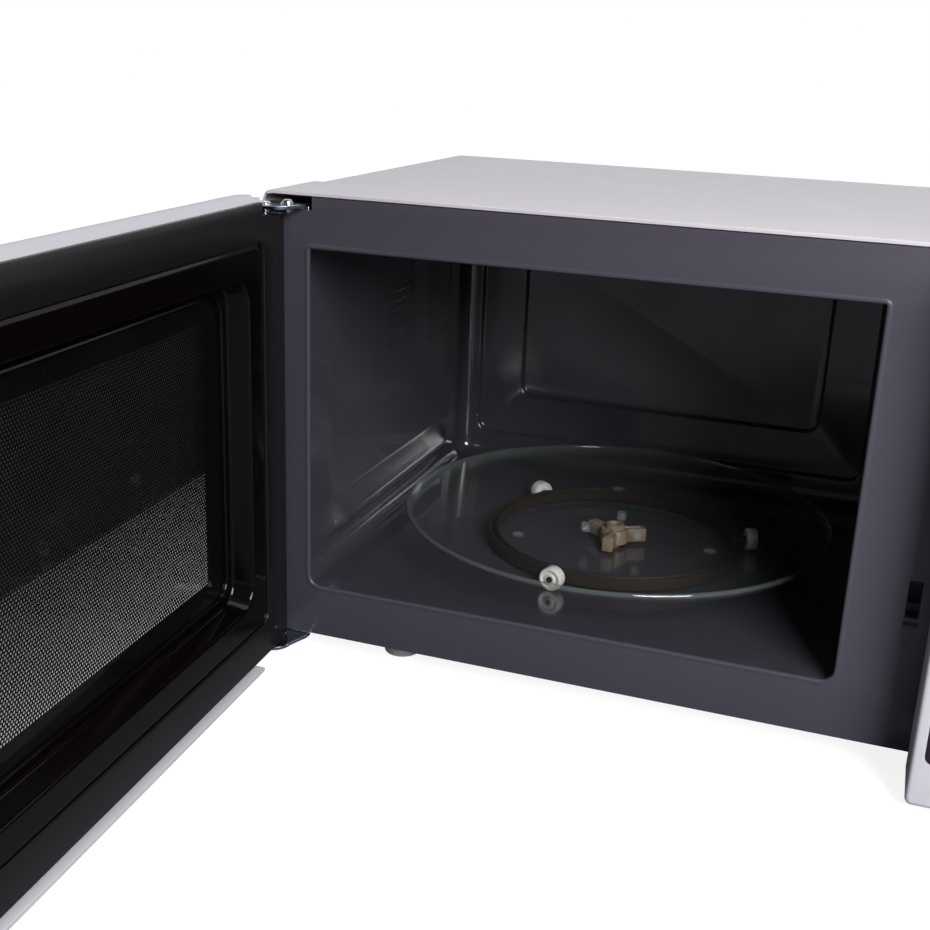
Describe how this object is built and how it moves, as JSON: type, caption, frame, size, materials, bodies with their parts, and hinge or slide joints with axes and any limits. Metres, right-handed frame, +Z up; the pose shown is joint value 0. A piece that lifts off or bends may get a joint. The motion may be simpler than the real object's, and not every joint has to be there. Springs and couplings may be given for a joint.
{
  "type": "microwave oven",
  "caption": "Countertop microwave oven with its side-hinged door open, glass turntable on a roller ring, enamelled cavity, knob and key panel, and its working parts inside.",
  "frame": {"origin": "on the worktop under the middle of the body, which leaves out the door and the panel", "axes": "+X to the user's right, +Y from the front to the back, +Z up"},
  "size_m": [0.4671, 0.6685, 0.2708],
  "materials": {
    "cover_paint": "semi-gloss light warm grey-white enamel",
    "plate_paint": "glossy violet-grey enamel",
    "cavity_paint": "glossy violet-grey enamel",
    "galvanised": "zinc-coated sheet",
    "zinc_blue": "bright zinc plating",
    "bright_steel": "polished",
    "white_plastic": "semi-gloss light grey-white",
    "foot_plastic": "matte light grey",
    "black_gloss": "high gloss black",
    "black_plastic": "matte black",
    "grey_plastic": "matte grey",
    "fascia_gloss": "high gloss purple-black",
    "display_dark": "smoked",
    "key_silver": "satin silver",
    "core_steel": "varnished laminations",
    "copper": "enamelled wire with tape",
    "board_green": "solder mask",
    "aluminium": "bare",
    "mica": "mica sheet",
    "clear_glass": "clear with a green edge",
    "smoked_glass": "smoked",
    "film": "clear dark film",
    "mesh_black": "semi-matte black enamel, perforated",
    "amber": "translucent amber",
    "wheel_white": "off-white",
    "coupler_beige": "beige-brown",
    "bush_grey": "acetal",
    "lamp_glass": "clear bulb"
  },
  "bodies": {
    "oven": {"base_plate": "galvanised", "feet": "foot_plastic", "front_plate": "plate_paint", "cavity": "cavity_paint", "outer_cover": "cover_paint", "rear_panel": "galvanised", "motor_access_plate": "galvanised", "body_screws": "zinc_blue", "top_hinge_bracket": "zinc_blue", "bottom_hinge_bracket": "zinc_blue", "hinge_pins": "bright_steel", "waveguide": "galvanised", "waveguide_cover": "mica", "magnetron_yoke": "galvanised", "magnetron_anode": "copper", "magnetron_fins": "aluminium", "magnetron_filter_box": "galvanised", "transformer_core": "core_steel", "transformer_windings": "copper", "hv_capacitor": "aluminium", "hv_diode": "black_plastic", "fan_shroud": "white_plastic", "fan_motor": "core_steel", "air_duct": "white_plastic", "oven_lamp": "lamp_glass", "thermal_cutout": "black_plastic", "mains_filter_board": "board_green", "cord_inlet_bush": "black_plastic", "turntable_motor": "galvanised", "panel_housing": "white_plastic", "panel_fascia": "fascia_gloss", "display_window": "display_dark", "control_board": "board_green", "interlock_housing": "white_plastic", "door_switches": "black_plastic"},
    "door": {"door_frame": "white_plastic", "door_glass": "smoked_glass", "door_mesh_panel": "mesh_black", "door_choke_cover": "black_gloss", "door_film": "film", "door_hinge_bushes": "bush_grey", "latch_spring": "bright_steel"},
    "latch": {"latch_hooks": "white_plastic"},
    "coupler": {"turntable_coupler": "coupler_beige"},
    "glass_plate": {"glass_turntable": "clear_glass"},
    "ring": {"roller_ring": "amber"},
    "wheel_1": {"roller_wheel_1": "wheel_white"},
    "wheel_2": {"roller_wheel_2": "wheel_white"},
    "wheel_3": {"roller_wheel_3": "wheel_white"},
    "fan": {"fan_blade": "grey_plastic"},
    "knob": {"control_knob": "key_silver"},
    "open_key": {"open_button": "white_plastic"},
    "lever": {"release_lever": "grey_plastic"},
    "key_1": {"button_1": "key_silver"},
    "key_2": {"button_2": "key_silver"},
    "key_3": {"button_3": "key_silver"},
    "key_4": {"button_4": "key_silver"},
    "key_5": {"button_5": "key_silver"},
    "key_6": {"button_6": "key_silver"}
  },
  "joints": [
    {"name": "door_hinge", "type": "hinge", "parent": "oven", "child": "door", "pos_m": [-0.21825, -0.159, 0.14], "axis": [0, 0, 1], "range_deg": [-10, 87.3]},
    {"name": "latch_slide", "type": "slide", "parent": "door", "child": "latch", "axis": [0, 0, 1], "range_m": [0, 0.0045], "stiffness_N_per_m": 500, "springref_m": -0.003, "deforming": ["latch_spring"]},
    {"name": "turntable_spin", "type": "hinge", "parent": "oven", "child": "coupler", "pos_m": [-0.0505, -0.006, 0.05], "axis": [0, 0, 1], "continuous": true},
    {"name": "glass_plate_lift", "type": "slide", "parent": "coupler", "child": "glass_plate", "axis": [0, 0, 1], "range_m": [0, 0.04]},
    {"name": "roller_ring_turn", "type": "hinge", "parent": "oven", "child": "ring", "pos_m": [-0.0505, -0.006, 0.05], "axis": [0, 0, 1], "continuous": true},
    {"name": "roller_wheel_1_roll", "type": "hinge", "parent": "ring", "child": "wheel_1", "pos_m": [-0.06774, -0.09229, 0.0518], "axis": [-0.1959, -0.9806, 0], "continuous": true},
    {"name": "roller_wheel_2_roll", "type": "hinge", "parent": "ring", "child": "wheel_2", "pos_m": [0.03286, 0.02221, 0.0518], "axis": [0.9472, 0.3206, 0], "continuous": true},
    {"name": "roller_wheel_3_roll", "type": "hinge", "parent": "ring", "child": "wheel_3", "pos_m": [-0.11661, 0.05208, 0.0518], "axis": [-0.7513, 0.66, 0], "continuous": true},
    {"name": "fan_spin", "type": "hinge", "parent": "oven", "child": "fan", "pos_m": [0.17025, 0.118, 0.205], "axis": [0, 1, 0], "continuous": true},
    {"name": "knob_turn", "type": "hinge", "parent": "oven", "child": "knob", "pos_m": [0.182, -0.1815, 0.117], "axis": [0, 1, 0], "continuous": true},
    {"name": "open_key_press", "type": "slide", "parent": "oven", "child": "open_key", "axis": [0, 1, 0], "range_m": [0, 0.006], "stiffness_N_per_m": 600, "springref_m": -0.002},
    {"name": "release_lever_turn", "type": "hinge", "parent": "oven", "child": "lever", "pos_m": [0.15, -0.1424, 0.086], "axis": [1, 0, 0], "range_deg": [0, 23]},
    {"name": "key_1_press", "type": "slide", "parent": "oven", "child": "key_1", "axis": [0, 1, 0], "range_m": [0, 0.0015], "stiffness_N_per_m": 700, "springref_m": -0.001},
    {"name": "key_2_press", "type": "slide", "parent": "oven", "child": "key_2", "axis": [0, 1, 0], "range_m": [0, 0.0015], "stiffness_N_per_m": 700, "springref_m": -0.001},
    {"name": "key_3_press", "type": "slide", "parent": "oven", "child": "key_3", "axis": [0, 1, 0], "range_m": [0, 0.0015], "stiffness_N_per_m": 700, "springref_m": -0.001},
    {"name": "key_4_press", "type": "slide", "parent": "oven", "child": "key_4", "axis": [0, 1, 0], "range_m": [0, 0.0015], "stiffness_N_per_m": 700, "springref_m": -0.001},
    {"name": "key_5_press", "type": "slide", "parent": "oven", "child": "key_5", "axis": [0, 1, 0], "range_m": [0, 0.0015], "stiffness_N_per_m": 700, "springref_m": -0.001},
    {"name": "key_6_press", "type": "slide", "parent": "oven", "child": "key_6", "axis": [0, 1, 0], "range_m": [0, 0.0015], "stiffness_N_per_m": 700, "springref_m": -0.001}
  ],
  "couplings": [
    {"joint": "roller_ring_turn", "follows": "turntable_spin", "ratio": 0.5},
    {"joint": "roller_wheel_1_roll", "follows": "turntable_spin", "ratio": -6.2857},
    {"joint": "roller_wheel_2_roll", "follows": "turntable_spin", "ratio": -6.2857},
    {"joint": "roller_wheel_3_roll", "follows": "turntable_spin", "ratio": -6.2857},
    {"joint": "release_lever_turn", "follows": "open_key_press", "rad_per_m": 66.667}
  ]
}
